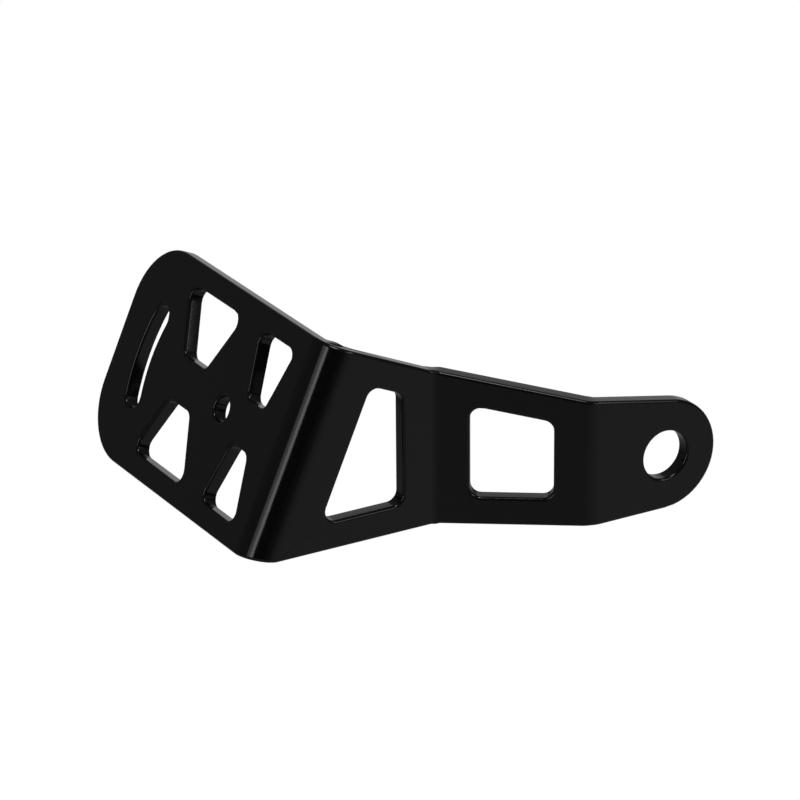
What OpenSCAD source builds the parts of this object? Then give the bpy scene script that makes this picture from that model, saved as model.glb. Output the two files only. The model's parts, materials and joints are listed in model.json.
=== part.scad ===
// Side plate bracket: one steel plate, cut in the flat and folded three times.
// The tongue bolts to the machine, the step carries the arm clear of it, and the
// panel stands square to the arm and holds a plate that pivots on one bolt and is
// locked by a second bolt in the curved slot.
// +X runs from the panel to the tongue's end, +Y through the plate towards the
// panel's free end, +Z up. The origin is on the tongue's outer face, on the axis
// of its hole.

/* [Plate] */
// Thickness of the plate
thick = 5; // [3:0.5:8]
// Inside radius of every fold
fold_r = 5; // [3:0.5:8]
// Corner radius of the openings
window_r = 3.6; // [2:0.1:5]

/* [Tongue] */
// Radius of the tongue's round end
tongue_r = 18.5; // [15:0.1:22]
// Diameter of the tongue's hole
hole_d = 16.2; // [10:0.1:20]
// From the hole's centre to the fold, measured on the outer faces
tongue_l = 27.6; // [25:0.1:40]

/* [Step] */
// Length of the step between its two folds, measured on the outer faces
step_l = 49.4; // [40:0.1:70]
// How far the step is folded out of the arm's plane, in degrees
step_angle = 34; // [20:1:45]
// Height of the step's upper edge above the hole's centre, at the arm's end
step_top = 33.3; // [30:0.1:38]
// Height of the step's opening at the arm's end, above the hole's centre
step_window_top = 22; // [18:0.1:24]
// Width of the step's opening
step_window_w = 26.4; // [15:0.1:30]
// From the arm's fold to the step's opening
step_window_x = 10.8; // [8:0.1:14]

/* [Arm] */
// Length of the arm between its two folds, on the outer faces at hole height
arm_l = 59.8; // [55:0.1:80]
// How far the panel's fold leans from the step's folds, in degrees
fold_tilt = 23.75; // [20:0.25:27]
// Width of the plate left above and below the openings of arm and step
arm_rim = 9.4; // [6:0.1:11]
// Width of the plate between the panel's fold and the arm's opening
arm_post = 20.6; // [18:0.1:24]
// Width of the plate between the arm's opening and the step's fold
arm_window_end = 11.5; // [8:0.1:14]
// Radius of the lower edge where it turns from the arm into the panel
sweep_r = 30; // [20:1:60]

/* [Panel] */
// Length of the panel from the fold's outer corner to its free edge
panel_l = 115.1; // [105:0.1:140]
// Height of the panel
panel_h = 73; // [68:0.5:80]
// Radius of the panel's two free corners
panel_r = 21.5; // [15:0.5:26]
// Width of the plate left above and below the panel's openings
panel_rim = 7.4; // [5:0.1:10]
// Height of the plate left between the upper and the lower openings
spine_h = 14.9; // [13:0.1:18]

/* [Panel openings] */
// From the fold to the middle of the openings nearer to it
near_x = 26.9; // [25:0.1:28]
// Width of the nearer openings at the panel's edge
near_wide = 22.2; // [20:0.1:26]
// Width of the nearer openings at the spine
near_slim = 10; // [9:0.1:16]
// From the fold to the middle of the farther openings
far_x = 67.4; // [64:0.1:69]
// Width of the farther openings at the panel's edge
far_wide = 34.7; // [30:0.1:38]
// Width of the farther openings at the spine
far_slim = 13.7; // [12:0.1:20]

/* [Pivot and slot] */
// From the fold to the centre of the pivot hole
pivot_x = 43.9; // [42:0.1:46]
// Diameter of the pivot hole
pivot_d = 8.4; // [6:0.1:11]
// Radius of the slot's centre line about the pivot hole
slot_r = 53; // [51:0.1:56]
// Width of the slot
slot_w = 8.4; // [6:0.1:10]
// Angle that the slot's centre line covers, in degrees
slot_sweep = 30; // [16:1:34]

/* [Hidden] */
$fn = 96;
// Steps that each fold and each round corner of the outline is drawn in
fold_steps = 12;
bend_steps = 6;
round_steps = 15;
window_steps = 6;
outer_r = fold_r + thick;
// The steel in a fold keeps its length two fifths of the way through the plate
neutral_r = fold_r + 0.4 * thick;
// From each fold's corner, on the outer faces, to where its curve starts
panel_back = outer_r;
arm_back = fold_r * tan(step_angle / 2);
tongue_back = outer_r * tan(step_angle / 2);
// Length of each curve, unrolled
panel_arc = neutral_r * PI / 2;
step_arc = neutral_r * PI * step_angle / 180;
// Corners of the folds on the outer faces, seen from above
fold3 = [-tongue_l, 0];
fold2 = fold3 + step_l * [-cos(step_angle), sin(step_angle)];
fold1 = fold2 - [arm_l, 0];
// The lower edge is square to the step's folds and touches the tongue's round end
low = -tongue_r;
// The panel's lower edge meets the arm's lower edge in the middle of the fold
sweep_x = panel_back - panel_arc / 2;
panel_low = (low + sweep_x * sin(fold_tilt)) / cos(fold_tilt);
panel_top = panel_low + panel_h;
panel_mid = (panel_low + panel_top) / 2;
// Centre of the lower edge's round turn, from the fold's corner along the flat plate
turn_x = sweep_x - sweep_r * tan(fold_tilt / 2);
turn_y = panel_low + sweep_r;
turn_end = turn_x + sweep_r * sin(fold_tilt);
// The arm's upper edge runs on from the panel's, square to the fold
arm_peak = panel_top * [sin(fold_tilt), cos(fold_tilt)];
function arm_top(x) = arm_peak[1] - (x - arm_peak[0]) * tan(fold_tilt);
arm_end_top = arm_top(arm_l - arm_back);
// The step's and the tongue's upper edge is one line on the flat plate, and it
// touches the tongue's round end
edge_run = step_l - arm_back - 2 * tongue_back + step_arc + tongue_l;
edge_tilt = atan(step_top / edge_run) - asin(tongue_r / norm([edge_run, step_top]));
edge_fall = tan(edge_tilt);
step_end_top = step_top - edge_fall * (step_l - arm_back - tongue_back);
tongue_start_top = step_end_top - edge_fall * step_arc;
// Where the two upper edges would meet inside the fold, for a smooth turn
kink_x = (arm_end_top - step_top - edge_fall * step_arc) / (tan(fold_tilt) - edge_fall);
kink_y = arm_end_top - tan(fold_tilt) * kink_x;
// How far a cutting tool runs past the plate
margin = 1;

function unit(v) = v / norm(v);
function mix(a, b, k) = a + (b - a) * k;
// Point on the arm at distance x square from the panel's fold and height y along it
function on_arm(x, y) = [x * cos(fold_tilt) + y * sin(fold_tilt),
                         y * cos(fold_tilt) - x * sin(fold_tilt)];

// Places in space on each flat: along it, up it, and w deep into the plate
function panel_point(x, y, w) = [fold1[0] + y * sin(fold_tilt) + w * cos(fold_tilt),
                                 fold1[1] + x,
                                 y * cos(fold_tilt) - w * sin(fold_tilt)];
function arm_point(x, y, w) = [fold1[0] + x, fold1[1] + w, y];
function step_point(x, y, w) = [fold2[0] + x * cos(step_angle) + w * sin(step_angle),
                                fold2[1] - x * sin(step_angle) + w * cos(step_angle), y];
function tongue_point(x, y, w) = [x, w, y];
// Places in space on each fold: at angle a about its axis, up it, and at radius r
function panel_fold_point(a, y, r) = let (q = outer_r + r * cos(a))
    [fold1[0] + q * cos(fold_tilt) + y * sin(fold_tilt),
     fold1[1] + outer_r + r * sin(a),
     y * cos(fold_tilt) - q * sin(fold_tilt)];
function arm_fold_point(a, y, r) = [fold2[0] - arm_back + r * cos(a),
                                    fold2[1] - fold_r + r * sin(a), y];
function tongue_fold_point(a, y, r) = [fold3[0] + tongue_back + r * cos(a),
                                       outer_r + r * sin(a), y];

// Lower edge of the flat plate across the panel's fold, x from the fold's corner
function turn_low(x) =
    x < turn_x ? panel_low
    : x > turn_end ? (low + x * sin(fold_tilt)) / cos(fold_tilt)
    : turn_y - sqrt(sweep_r * sweep_r - (x - turn_x) * (x - turn_x));
// Upper edge across the arm's fold, k from 0 at the arm to 1 at the step
function kink_t(x) = let (a = step_arc - 2 * kink_x)
    abs(a) < 0.001 ? x / (2 * kink_x)
    : (-kink_x + sqrt(kink_x * kink_x + a * x)) / a;
function kink_top(k) = let (t = kink_t(k * step_arc))
    (1 - t) * (1 - t) * arm_end_top + 2 * t * (1 - t) * kink_y + t * t * step_top;

// The plate's cross-cuts, one after another from the panel's free edge to the end
// of the tongue. Each holds its four corners: outer low and high, inner high and low
function panel_cut(x, y1, y2) = [panel_point(x, y1, 0), panel_point(x, y2, 0),
                                 panel_point(x, y2, thick), panel_point(x, y1, thick)];
function arm_cut(p1, p2) = [arm_point(p1[0], p1[1], 0), arm_point(p2[0], p2[1], 0),
                            arm_point(p2[0], p2[1], thick), arm_point(p1[0], p1[1], thick)];
function step_cut(x, y2) = [step_point(x, low, 0), step_point(x, y2, 0),
                            step_point(x, y2, thick), step_point(x, low, thick)];
function tongue_cut(x, y1, y2) = [tongue_point(x, y1, 0), tongue_point(x, y2, 0),
                                  tongue_point(x, y2, thick), tongue_point(x, y1, thick)];

panel_start = panel_back + panel_back - panel_arc - turn_x;
panel_cuts = [
    for (i = [0 : round_steps]) let (a = 90 * i / round_steps, d = panel_r * (1 - sin(a)))
        panel_cut(panel_l - panel_r * (1 - cos(a)), panel_low + d, panel_top - d),
    for (i = [0 : 3]) let (x = mix(panel_start, panel_back, i / 4))
        panel_cut(x, turn_low(2 * panel_back - panel_arc - x), panel_top)
];
panel_fold_cuts = [
    for (i = [0 : fold_steps]) let (k = i / fold_steps, a = 180 + 90 * k,
        y = turn_low(panel_back - panel_arc * (1 - k)))
        [panel_fold_point(a, y, outer_r), panel_fold_point(a, panel_top, outer_r),
         panel_fold_point(a, panel_top, fold_r), panel_fold_point(a, y, fold_r)]
];
// The lower edge goes on turning on the arm, and the upper edge is cut up with it
arm_start_top = on_arm(panel_back, panel_top);
arm_cuts = [
    for (i = [1 : 4]) let (x = mix(panel_back, turn_end, i / 4))
        arm_cut(on_arm(x, turn_low(x)),
                mix(arm_start_top, [arm_l - arm_back, arm_end_top], i / 8))
];
arm_fold_cuts = [
    for (i = [0 : bend_steps]) let (k = i / bend_steps, a = 90 - step_angle * k, y = kink_top(k))
        [arm_fold_point(a, low, fold_r), arm_fold_point(a, y, fold_r),
         arm_fold_point(a, y, outer_r), arm_fold_point(a, low, outer_r)]
];
tongue_fold_cuts = [
    for (i = [0 : bend_steps]) let (k = i / bend_steps, a = 270 - step_angle * (1 - k),
        y = step_end_top - edge_fall * step_arc * k)
        [tongue_fold_point(a, low, outer_r), tongue_fold_point(a, y, outer_r),
         tongue_fold_point(a, y, fold_r), tongue_fold_point(a, low, fold_r)]
];
// The upper edge touches the round end a little past the hole's centre
function tongue_high(a) = a < edge_tilt
    ? tongue_r * (cos(edge_tilt) + (sin(edge_tilt) - sin(a)) * edge_fall)
    : tongue_r * cos(a);
tongue_angles = [0, edge_tilt, for (i = [3 : round_steps]) 87 * i / round_steps];
tongue_cuts = [
    for (a = tongue_angles)
        tongue_cut(tongue_r * sin(a), -tongue_r * cos(a), tongue_high(a))
];
cuts = concat(panel_cuts, panel_fold_cuts, arm_cuts, arm_fold_cuts, tongue_fold_cuts,
              tongue_cuts);

// The whole plate with no openings, as one closed body
module blank() {
    n = len(cuts) - 1;
    sides = [for (i = [0 : n - 1]) for (j = [0 : 3]) let (a = 4 * i + j, b = 4 * i + (j + 1) % 4)
        each [[a, b, b + 4], [a, b + 4, a + 4]]];
    centre = fold2;
    translate([centre[0], centre[1], 0])
        polyhedron(
            points = [for (c = cuts) for (p = c) p - [centre[0], centre[1], 0]],
            faces = concat([[3, 2, 1, 0]], sides,
                [[4 * n, 4 * n + 1, 4 * n + 2, 4 * n + 3]]),
            convexity = 6);
}

// Points of a polygon with round corners
function round_corner(a, b, c, r) = let (
        half = acos(unit(a - b) * unit(c - b)) / 2,
        o = b + unit(unit(a - b) + unit(c - b)) * r / sin(half),
        p = b + unit(a - b) * r / tan(half) - o,
        turn = 180 - 2 * half)
    [for (i = [0 : window_steps]) let (t = turn * i / window_steps)
        o + [p[0] * cos(t) - p[1] * sin(t), p[0] * sin(t) + p[1] * cos(t)]];
module rounded(pts, r) {
    n = len(pts);
    polygon([for (i = [0 : n - 1])
        each round_corner(pts[(i + n - 1) % n], pts[i], pts[(i + 1) % n], r)]);
}

// Cutting tool through a flat that stands up with its outer face at y = 0
module through() {
    translate([0, thick + margin, 0])
        rotate([90, 0, 0])
            linear_extrude(thick + 2 * margin)
                children();
}

// Moves from the fold's corner into the panel's own measure: x away from the fold,
// y up along the fold, z into the plate
module in_panel() {
    translate([fold1[0], fold1[1], 0])
        rotate([0, fold_tilt, 0])
            rotate([90, 0, 90])
                translate([0, 0, -margin])
                    children();
}

// Opening that is wide at the panel's edge and slim at the spine
module panel_window(x, wide, slim, up) {
    y1 = spine_h / 2;
    y2 = panel_h / 2 - panel_rim;
    translate([x, panel_mid])
        mirror([0, up ? 0 : 1])
            rounded([[-slim / 2, y1], [slim / 2, y1], [wide / 2, y2], [-wide / 2, y2]], window_r);
}

// Curved slot about the pivot hole, with round ends
module slot() {
    a = slot_sweep / 2;
    n = 8;
    r1 = slot_r - slot_w / 2;
    r2 = slot_r + slot_w / 2;
    e = slot_w / 2;
    function at(r, t) = r * [cos(t), sin(t)];
    translate([pivot_x, panel_mid])
        polygon(concat(
            [for (i = [0 : n]) at(r2, mix(-a, a, i / n))],
            [for (i = [1 : n - 1]) at(slot_r, a) + at(e, a + 180 * i / n)],
            [for (i = [0 : n]) at(r1, mix(a, -a, i / n))],
            [for (i = [1 : n - 1]) at(slot_r, -a) + at(e, 180 - a + 180 * i / n)]
        ));
}

module panel_cutouts() {
    in_panel() {
        linear_extrude(thick + 2 * margin) {
            for (up = [true, false]) {
                panel_window(near_x, near_wide, near_slim, up);
                panel_window(far_x, far_wide, far_slim, up);
            }
            slot();
        }
        translate([pivot_x, panel_mid, 0])
            cylinder(d = pivot_d, h = thick + 2 * margin);
    }
}

module arm_window() {
    side = arm_l - arm_window_end;
    bottom = low + arm_rim;
    function post(y) = (arm_post + y * sin(fold_tilt)) / cos(fold_tilt);
    translate([fold1[0], fold1[1], 0])
        through()
            rounded([
                [post(bottom), bottom],
                [side, bottom],
                [side, arm_top(side) - arm_rim / cos(fold_tilt)],
                on_arm(arm_post, panel_top - arm_rim)
            ], window_r);
}

module step_window() {
    x1 = step_window_x;
    x2 = x1 + step_window_w;
    translate([fold2[0], fold2[1], 0])
        rotate([0, 0, -step_angle])
            through()
                rounded([
                    [x1, low + arm_rim],
                    [x2, low + arm_rim],
                    [x2, step_window_top - step_window_w * edge_fall],
                    [x1, step_window_top]
                ], window_r);
}

module tongue_hole() {
    translate([0, -margin, 0])
        rotate([-90, 0, 0])
            cylinder(d = hole_d, h = thick + 2 * margin);
}

module bracket() {
    color("#16181c")
        difference() {
            blank();
            panel_cutouts();
            arm_window();
            step_window();
            tongue_hole();
        }
}

bracket();
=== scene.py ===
# %% [markdown]
# A side plate bracket, coated black
# The object is one steel plate, 5 mm thick. It has a round tongue with a hole, a slanting step, an arm
# and a wide panel with a pivot hole and a curved slot. It could be modelled here from nothing, but the
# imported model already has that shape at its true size. So the work in this script is the rest: the
# softened edges, the swollen folds, the gloss, the light and the camera.

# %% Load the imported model
import json
import math

import bpy
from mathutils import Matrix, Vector

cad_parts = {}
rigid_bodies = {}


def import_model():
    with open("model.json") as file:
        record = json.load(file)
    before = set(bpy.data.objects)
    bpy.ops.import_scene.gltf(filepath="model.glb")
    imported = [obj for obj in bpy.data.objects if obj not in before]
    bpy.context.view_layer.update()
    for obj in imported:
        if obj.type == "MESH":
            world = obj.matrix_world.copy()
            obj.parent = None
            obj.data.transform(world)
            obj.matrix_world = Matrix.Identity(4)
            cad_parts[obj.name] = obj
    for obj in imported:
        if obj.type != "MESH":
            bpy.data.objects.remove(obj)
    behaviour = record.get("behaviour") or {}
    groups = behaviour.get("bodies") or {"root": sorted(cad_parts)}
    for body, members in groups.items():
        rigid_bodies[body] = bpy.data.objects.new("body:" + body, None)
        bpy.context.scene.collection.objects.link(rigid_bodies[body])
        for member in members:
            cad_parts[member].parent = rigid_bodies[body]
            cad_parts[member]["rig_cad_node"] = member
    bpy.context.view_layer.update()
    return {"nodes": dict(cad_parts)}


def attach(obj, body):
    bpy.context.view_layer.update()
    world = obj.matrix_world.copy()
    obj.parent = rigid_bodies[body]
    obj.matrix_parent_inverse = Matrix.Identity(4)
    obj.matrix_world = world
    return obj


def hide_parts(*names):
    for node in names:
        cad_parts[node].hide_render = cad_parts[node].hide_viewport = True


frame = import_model()
print("packed nodes:", list(frame["nodes"]))

# %% [markdown]
# The camera
# The photograph shows the plate from its front left and a little above, with almost no perspective,
# as a long lens does from 1.4 m. A camera could be aimed with a constraint, but its place, turn and
# lens were fitted together to the plate's outlines and holes, so they are written down as fitted.
# The turn is in degrees and the lens in millimetres. The shift is less than half a pixel.

# %% The camera
CAMERA_PLACE = (-0.7150, -1.0667, 0.5597)
CAMERA_TURN = (67.145, 0.406, -30.256)
CAMERA_LENS = 198.8
CAMERA_SHIFT = (-0.00054, 0.00030)
SENSOR_WIDTH = 36
NEAREST_SEEN = 0.05
FARTHEST_SEEN = 50


def add_camera(place, turn, lens, shift):
    bpy.ops.object.camera_add(location=place, rotation=[math.radians(a) for a in turn])
    camera = bpy.context.active_object
    camera.name = "photo_camera"
    camera.data.sensor_width = SENSOR_WIDTH
    camera.data.lens = lens
    camera.data.shift_x = shift[0]
    camera.data.shift_y = shift[1]
    camera.data.clip_start = NEAREST_SEEN
    camera.data.clip_end = FARTHEST_SEEN
    bpy.context.scene.camera = camera
    return camera


camera = add_camera(CAMERA_PLACE, CAMERA_TURN, CAMERA_LENS, CAMERA_SHIFT)
print("camera stands", round(camera.location.length, 3), "m from the tongue's hole")

# %% [markdown]
# The coated plate
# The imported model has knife-sharp edges, and a coated plate never does. The plate could be drawn
# again with soft edges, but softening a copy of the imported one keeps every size. The copy's loose
# triangles are merged and its flat faces joined up, so that only the real edges are left to work on.

# %% A merged copy of the plate
SAME_POINT = 0.000002
SAME_FACE = math.radians(0.5)


def select_only(piece):
    bpy.ops.object.select_all(action="DESELECT")
    piece.select_set(True)
    bpy.context.view_layer.objects.active = piece


def merged_copy(node, name):
    select_only(node)
    bpy.ops.object.duplicate()
    piece = bpy.context.active_object
    piece.name = name
    del piece["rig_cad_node"]
    piece.data.materials.clear()
    bpy.ops.object.mode_set(mode="EDIT")
    bpy.ops.mesh.select_all(action="SELECT")
    bpy.ops.mesh.customdata_custom_splitnormals_clear()
    bpy.ops.mesh.remove_doubles(threshold=SAME_POINT)
    bpy.ops.mesh.dissolve_limited(angle_limit=SAME_FACE)
    bpy.ops.object.mode_set(mode="OBJECT")
    return piece


plate = merged_copy(frame["nodes"]["bracket"], "coated_plate")
print("merged plate:", len(plate.data.vertices), "points,", len(plate.data.polygons), "faces")

# %% [markdown]
# Rounded edges
# The plate's outer side has a soft edge of about a millimetre, which draws a bright and a dark line
# along every opening. The side that faces away isn't seen and is given a tighter edge. A Bevel
# modifier would round both sides alike. Here each side is one smooth sheet across the folds, so it
# is selected as one flat-linked region, and the loop around that region is bevelled in edit mode.
# The bevel isn't clamped, because the narrow strips of the folds would hold all of it back.

# %% Round the edges of each side
FRONT_ROUND = 0.0010
FRONT_STRIPS = 6
BACK_ROUND = 0.0004
BACK_STRIPS = 3
CIRCLE_PROFILE = 0.5
SAME_SHEET = math.radians(20)
SAME_WAY = 0.99
TOWARDS_FRONT = Vector((0, -1, 0))
TOWARDS_BACK = Vector((0, 1, 0))


def largest_face(piece, facing):
    faces = [f for f in piece.data.polygons if f.normal.dot(facing) > SAME_WAY]
    return max(faces, key=lambda f: f.area)


def round_side(piece, facing, radius, strips):
    bpy.ops.object.mode_set(mode="EDIT")
    bpy.ops.mesh.select_mode(type="FACE")
    bpy.ops.mesh.select_all(action="DESELECT")
    bpy.ops.object.mode_set(mode="OBJECT")
    largest_face(piece, facing).select = True
    bpy.ops.object.mode_set(mode="EDIT")
    bpy.ops.mesh.faces_select_linked_flat(sharpness=SAME_SHEET)
    bpy.ops.mesh.region_to_loop()
    bpy.ops.mesh.bevel(offset=radius, segments=strips, profile=CIRCLE_PROFILE, clamp_overlap=False)
    bpy.ops.object.mode_set(mode="OBJECT")
    print("rounded edges of", round(radius * 1000, 2), "mm,", len(piece.data.polygons), "faces")


select_only(plate)
round_side(plate, TOWARDS_FRONT, FRONT_ROUND, FRONT_STRIPS)
round_side(plate, TOWARDS_BACK, BACK_ROUND, BACK_STRIPS)

# %% [markdown]
# Where the folds are
# The plate has three folds: beside the tongue, where the step meets the arm, and where the arm turns
# into the panel. Their points could be picked by hand, but each fold is a part of a round bar, so its
# axis and the two flats that it joins are enough to find them. The axis follows from the part's
# lengths and angles. Each fold also names how far its edge swells at the inside and draws in outside.

# %% Lines and directions of the folds
FOLD_INSIDE = 0.005
FOLD_OUTSIDE = 0.010
STEP_ANGLE = math.radians(34)
STEP_LENGTH = 0.0494
ARM_LENGTH = 0.0598
FOLD_LEAN = math.radians(23.75)
TONGUE_FOLD = Vector((-0.0276, 0, 0))
ARM_FOLD = TONGUE_FOLD + STEP_LENGTH * Vector((-math.cos(STEP_ANGLE), math.sin(STEP_ANGLE), 0))
PANEL_FOLD = ARM_FOLD - Vector((ARM_LENGTH, 0, 0))
UPRIGHT = Vector((0, 0, 1))
LEANING = Vector((math.sin(FOLD_LEAN), 0, math.cos(FOLD_LEAN)))
INTO_PANEL = Vector((math.cos(FOLD_LEAN), 0, -math.sin(FOLD_LEAN)))
INTO_ARM = Vector((0, 1, 0))
INTO_STEP = Vector((math.sin(STEP_ANGLE), math.cos(STEP_ANGLE), 0))
print("fold corners at x, mm:", [round(c.x * 1000, 1) for c in (TONGUE_FOLD, ARM_FOLD, PANEL_FOLD)])

# %% The three folds


def fold_centre(corner, into_a, into_b, deep):
    half = into_a.angle(into_b) / 2
    return corner + (into_a + into_b).normalized() * deep / math.cos(half)


FOLDS = {
    "panel": {
        "centre": fold_centre(PANEL_FOLD, INTO_PANEL, INTO_ARM, FOLD_OUTSIDE),
        "axis": LEANING,
        "first": -INTO_PANEL,
        "last": -INTO_ARM,
        "swell": 0.0006,
        "draw_in": 0.0003,
    },
    "arm": {
        "centre": fold_centre(ARM_FOLD, INTO_ARM, INTO_STEP, -FOLD_INSIDE),
        "axis": UPRIGHT,
        "first": INTO_ARM,
        "last": INTO_STEP,
        "swell": 0.0003,
        "draw_in": 0.0003,
    },
    "tongue": {
        "centre": fold_centre(TONGUE_FOLD, INTO_STEP, INTO_ARM, FOLD_OUTSIDE),
        "axis": UPRIGHT,
        "first": -INTO_STEP,
        "last": -INTO_ARM,
        "swell": 0.0001,
        "draw_in": 0.0001,
    },
}
print("folds:", {name: [round(c * 1000, 2) for c in fold["centre"]] for name, fold in FOLDS.items()})

# %% [markdown]
# Swollen fold edges
# When thick steel is folded, the inside of the fold is squeezed and bulges out at the plate's edges,
# and the outside is stretched and draws in. A sculpt brush or a lattice could show it, but a move
# worked out from each point's place in the fold is even and the same at every run. It is greatest in
# the middle of the fold and nothing where the fold ends. It comes after the bevel, which would
# otherwise make a spike where the swollen edge turns.

# %% How far round a fold a point lies
ON_THE_AXIS = 0.001
TURN_SLACK = 0.01


def share_of_fold(point, fold):
    out = point - fold["centre"]
    out -= fold["axis"] * out.dot(fold["axis"])
    whole = fold["first"].angle(fold["last"])
    if out.length < ON_THE_AXIS or fold["first"].angle(out) + out.angle(fold["last"]) > whole + TURN_SLACK:
        return 0, 0
    return fold["first"].angle(out) / whole, out.length


for name, fold in FOLDS.items():
    turned = [share_of_fold(vertex.co, fold)[0] > 0 for vertex in plate.data.vertices]
    print("points round the", name, "fold's axis:", sum(turned))

# %% Swell and draw in
FIRST_SHARE = 0.01
LAST_SHARE = 0.99
SHEET_SLACK = 0.0002
MIDDLE_HEIGHT = 0.01
SHIFT_DIGITS = 6


def in_the_sheet(share, radius):
    in_turn = FIRST_SHARE < share < LAST_SHARE
    return in_turn and FOLD_INSIDE - SHEET_SLACK < radius < FOLD_OUTSIDE + SHEET_SLACK


def shift_at(radius, fold):
    across = (radius - FOLD_INSIDE) / (FOLD_OUTSIDE - FOLD_INSIDE)
    return fold["swell"] - across * (fold["swell"] + fold["draw_in"])


def select_points(piece, indices):
    bpy.ops.object.mode_set(mode="EDIT")
    bpy.ops.mesh.select_mode(type="VERT")
    bpy.ops.mesh.select_all(action="DESELECT")
    bpy.ops.object.mode_set(mode="OBJECT")
    for index in indices:
        piece.data.vertices[index].select = True
    bpy.ops.object.mode_set(mode="EDIT")


def swell_fold(piece, fold):
    moves = {}
    for vertex in piece.data.vertices:
        share, radius = share_of_fold(vertex.co, fold)
        if in_the_sheet(share, radius):
            edge = 1 if vertex.co.z > MIDDLE_HEIGHT else -1
            shift = edge * shift_at(radius, fold) * math.sin(math.pi * share) ** 2
            moves.setdefault(round(shift, SHIFT_DIGITS), []).append(vertex.index)
    for shift, indices in moves.items():
        select_points(piece, indices)
        bpy.ops.transform.translate(value=fold["axis"] * shift)
        bpy.ops.object.mode_set(mode="OBJECT")
    return sum(len(found) for found in moves.values())


for name, fold in FOLDS.items():
    print("points moved at the", name, "fold:", swell_fold(plate, fold))

# %% [markdown]
# Smooth bends and flat faces
# The folds and the rounded edges are narrow flat strips here, and on the real plate they are smooth
# curves. Many more strips would look smooth, and so does smooth shading, at no cost. But smooth
# shading alone also bends the light near the rims of the large flat faces, so a Weighted Normal
# modifier then lets the largest face at each point decide. Corners above 40 degrees stay sharp.

# %% Smooth the folds
SHARP_CORNER = math.radians(40)
EVEN_WEIGHT = 50


def smooth_bends(piece, sharp):
    select_only(piece)
    bpy.ops.object.shade_smooth_by_angle(angle=sharp)
    weigh = piece.modifiers.new("flat_faces", "WEIGHTED_NORMAL")
    weigh.mode = "FACE_AREA"
    weigh.weight = EVEN_WEIGHT
    weigh.keep_sharp = True
    bpy.ops.object.modifier_apply(modifier=weigh.name)


smooth_bends(plate, SHARP_CORNER)

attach(plate, "root")
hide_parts("bracket")
print("coated plate:", len(plate.data.vertices), "points,", len(plate.data.polygons), "faces")

# %% [markdown]
# The black powder coat
# The coat is a glossy black plastic skin, baked on. It shows a fine orange peel under a lamp, and its
# gloss drifts a little from place to place. Painted pictures could show both, but noise needs no
# seams and no unwrapping. It is read on Object coordinates, so it keeps its size on the steel. The
# even values are set on the shader itself.

# %% Values of the coat
COAT_BLACK = (0.0020, 0.0021, 0.0026, 1.0)
COAT_BLACK_THIN = (0.0028, 0.0029, 0.0035, 1.0)
COAT_BENDS_LIGHT = 1.5
GLOSSIEST = 0.08
DULLEST = 0.13
DRIFT_GRAIN = 45
DRIFT_DETAIL = 3
PEEL_GRAIN = 900
PEEL_DETAIL = 2
PEEL_STRENGTH = 0.25
PEEL_DEPTH = 0.00004
print("orange peel about", round(1000 / PEEL_GRAIN, 1), "mm across")

# %% The coat's material


def coat_noise(nodes, links, place, grain, detail):
    noise = nodes.new("ShaderNodeTexNoise")
    noise.inputs["Scale"].default_value = grain
    noise.inputs["Detail"].default_value = detail
    links.new(place, noise.inputs["Vector"])
    return noise.outputs["Fac"]


def powder_coat(name):
    material = bpy.data.materials.new(name)
    material.use_nodes = True
    nodes = material.node_tree.nodes
    links = material.node_tree.links
    coat = nodes["Principled BSDF"]
    coat.inputs["Metallic"].default_value = 0.0
    coat.inputs["IOR"].default_value = COAT_BENDS_LIGHT
    place = nodes.new("ShaderNodeTexCoord").outputs["Object"]

    drift = coat_noise(nodes, links, place, DRIFT_GRAIN, DRIFT_DETAIL)
    colour = nodes.new("ShaderNodeMix")
    colour.data_type = "RGBA"
    colour.inputs["A"].default_value = COAT_BLACK
    colour.inputs["B"].default_value = COAT_BLACK_THIN
    links.new(drift, colour.inputs["Factor"])
    links.new(colour.outputs["Result"], coat.inputs["Base Color"])

    gloss = nodes.new("ShaderNodeMapRange")
    gloss.inputs["To Min"].default_value = GLOSSIEST
    gloss.inputs["To Max"].default_value = DULLEST
    links.new(drift, gloss.inputs["Value"])
    links.new(gloss.outputs["Result"], coat.inputs["Roughness"])

    bump = nodes.new("ShaderNodeBump")
    bump.inputs["Strength"].default_value = PEEL_STRENGTH
    bump.inputs["Distance"].default_value = PEEL_DEPTH
    links.new(coat_noise(nodes, links, place, PEEL_GRAIN, PEEL_DETAIL), bump.inputs["Height"])
    links.new(bump.outputs["Normal"], coat.inputs["Normal"])
    return material


plate.data.materials.append(powder_coat("black_powder_coat"))
print("finish:", plate.data.materials[0].name)

# %% [markdown]
# The floor and the white ground
# The photograph's ground is pure white with no shadow line. Strong light on a pale floor could do
# that, but it would light the plate too. So a pale floor lies well below the plate, and Light Path
# makes floor and world plain white for the camera alone. The flat faces of the real plate mirror very
# little, so its room was dim, darkest towards the camera. The rays that the coat mirrors therefore
# get only a small share of that white: a share that grows from left to right on the floor, and
# shrinks towards the camera's side in the world. It changes smoothly between two ends, and each end
# is given as a place along that direction and the share there.

# %% How the ground looks to the camera and in the coat
WHITE = (1, 1, 1, 1)


def mirrored_share(nodes, links, place, along, low, high):
    measure = nodes.new("ShaderNodeVectorMath")
    measure.operation = "DOT_PRODUCT"
    measure.inputs[1].default_value = along
    links.new(place, measure.inputs[0])
    share = nodes.new("ShaderNodeMapRange")
    share.interpolation_type = "SMOOTHSTEP"
    share.inputs["From Min"].default_value = low[0]
    share.inputs["From Max"].default_value = high[0]
    share.inputs["To Min"].default_value = low[1]
    share.inputs["To Max"].default_value = high[1]
    links.new(measure.outputs["Value"], share.inputs["Value"])
    return share.outputs["Result"]


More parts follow.
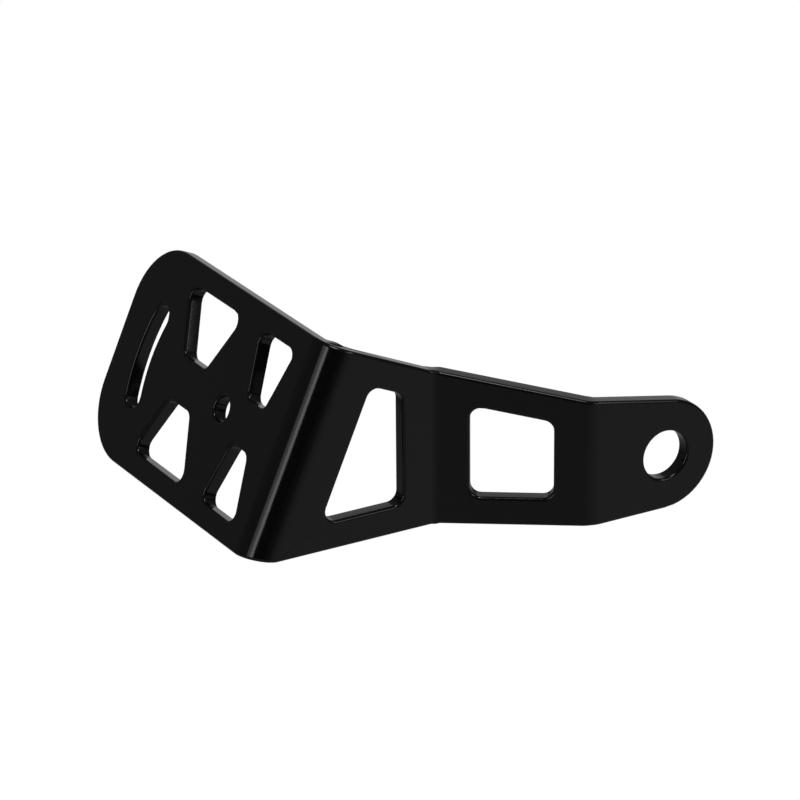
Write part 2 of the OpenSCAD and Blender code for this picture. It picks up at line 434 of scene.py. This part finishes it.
def combined(nodes, links, operation, first, second):
    step = nodes.new("ShaderNodeMath")
    step.operation = operation
    links.new(first, step.inputs[0])
    links.new(second, step.inputs[1])
    return step


def white_to_camera(nodes, links, plain, share):
    rays = nodes.new("ShaderNodeLightPath").outputs
    white = nodes.new("ShaderNodeBackground" if plain.type == "BACKGROUND" else "ShaderNodeEmission")
    white.inputs["Color"].default_value = WHITE
    white.inputs["Strength"].default_value = 1.0
    glossy = combined(nodes, links, "MULTIPLY", rays["Is Glossy Ray"], share)
    seen = combined(nodes, links, "ADD", rays["Is Camera Ray"], glossy.outputs[0])
    through = combined(nodes, links, "ADD", seen.outputs[0], rays["Is Transmission Ray"])
    through.use_clamp = True
    mix = nodes.new("ShaderNodeMixShader")
    links.new(through.outputs[0], mix.inputs[0])
    links.new(plain.outputs[0], mix.inputs[1])
    links.new(white.outputs[0], mix.inputs[2])
    return mix


print("white that the camera sees:", WHITE[:3])

# %% The floor
FLOOR_DROP = 0.30
FLOOR_RADIUS = 6
FLOOR_CORNERS = 96
FLOOR_GREY = (0.5, 0.5, 0.5, 1)
FLOOR_ROUGHNESS = 0.9
LEFT_TO_RIGHT = (1, 0, 0)
FLOOR_LEFT = (-0.5, 0.05)
FLOOR_RIGHT = (0.3, 0.16)


def floor_material(name):
    material = bpy.data.materials.new(name)
    material.use_nodes = True
    nodes = material.node_tree.nodes
    links = material.node_tree.links
    plain = nodes["Principled BSDF"]
    plain.inputs["Base Color"].default_value = FLOOR_GREY
    plain.inputs["Roughness"].default_value = FLOOR_ROUGHNESS
    place = nodes.new("ShaderNodeTexCoord").outputs["Object"]
    share = mirrored_share(nodes, links, place, LEFT_TO_RIGHT, FLOOR_LEFT, FLOOR_RIGHT)
    mix = white_to_camera(nodes, links, plain, share)
    links.new(mix.outputs[0], nodes["Material Output"].inputs["Surface"])
    return material


def add_floor(drop):
    bpy.ops.object.select_all(action="DESELECT")
    bpy.ops.mesh.primitive_circle_add(
        vertices=FLOOR_CORNERS, radius=FLOOR_RADIUS, fill_type="NGON", location=(0, 0, -drop))
    bpy.ops.object.transform_apply(location=True, rotation=False, scale=False)
    floor = bpy.context.active_object
    floor.name = "studio_floor"
    floor.data.materials.append(floor_material("pale_floor"))


add_floor(FLOOR_DROP)
print("floor lies", FLOOR_DROP, "m below the tongue's hole")

# %% The dim room around the plate
ROOM_STRENGTH = 0.02
TOWARDS_CAMERA = (-0.55, -0.83, 0.0)
ROOM_AROUND = (0.72, 0.085)
ROOM_BEHIND_CAMERA = (0.95, 0.015)


def set_room(name):
    world = bpy.data.worlds.new(name)
    bpy.context.scene.world = world
    world.use_nodes = True
    nodes = world.node_tree.nodes
    links = world.node_tree.links
    plain = nodes["Background"]
    plain.inputs["Color"].default_value = WHITE
    plain.inputs["Strength"].default_value = ROOM_STRENGTH
    place = nodes.new("ShaderNodeTexCoord").outputs["Generated"]
    share = mirrored_share(nodes, links, place, TOWARDS_CAMERA, ROOM_AROUND, ROOM_BEHIND_CAMERA)
    mix = white_to_camera(nodes, links, plain, share)
    links.new(mix.outputs[0], nodes["World Output"].inputs["Surface"])
    return world


print("room:", set_room("dim_room").name)

# %% [markdown]
# The lamps
# The photograph's highlights say where its lamps stood: a tall soft box left of the camera draws the
# bright line down the first bend, and one behind the plate lights the top edges. The others stand
# at the right and above, where the rounded edges mirror them and the large flat faces don't. One
# picture of a studio around the scene could do the same, but area lamps can be moved one by one.

# %% Soft boxes
PLATE_MIDDLE = Vector((-0.065, 0.04, 0.01))
SOFTBOXES = {
    "left_softbox": {"from": (203, 11, 1.2), "size": (0.22, 0.9), "radiance": 2.2},
    "left_spill": {"from": (192, 12, 1.25), "size": (0.20, 0.9), "radiance": 0.8},
    "back_softbox": {"from": (57, 9, 1.2), "size": (0.8, 0.70), "radiance": 0.36},
    "right_softbox": {"from": (303, 29, 1.2), "size": (0.64, 0.40), "radiance": 1.5},
    "far_right_softbox": {"from": (325, 38, 1.2), "size": (0.30, 0.30), "radiance": 1.4},
    "top_softbox": {"from": (280, 76, 1.2), "size": (0.36, 0.36), "radiance": 5.5},
}


def from_plate(azimuth, elevation, distance):
    a = math.radians(azimuth)
    e = math.radians(elevation)
    away = Vector((math.cos(a) * math.cos(e), math.sin(a) * math.cos(e), math.sin(e)))
    return PLATE_MIDDLE + away * distance


def add_softbox(name, place, size, radiance):
    bpy.ops.object.light_add(type="AREA", location=place)
    lamp = bpy.context.active_object
    lamp.name = name
    lamp.data.shape = "RECTANGLE"
    lamp.data.size = size[0]
    lamp.data.size_y = size[1]
    lamp.data.energy = radiance * math.pi * size[0] * size[1]
    towards = PLATE_MIDDLE - place
    lamp.rotation_euler = towards.to_track_quat("-Z", "Y").to_euler()


for name, box in SOFTBOXES.items():
    add_softbox(name, from_plate(*box["from"]), box["size"], box["radiance"])

# %% [markdown]
# Plain colours
# Blender's usual view softens bright colours as film does. The Standard view shows them as they are
# set, so black stays black and the ground stays white.

# %% View settings
bpy.context.scene.view_settings.view_transform = "Standard"
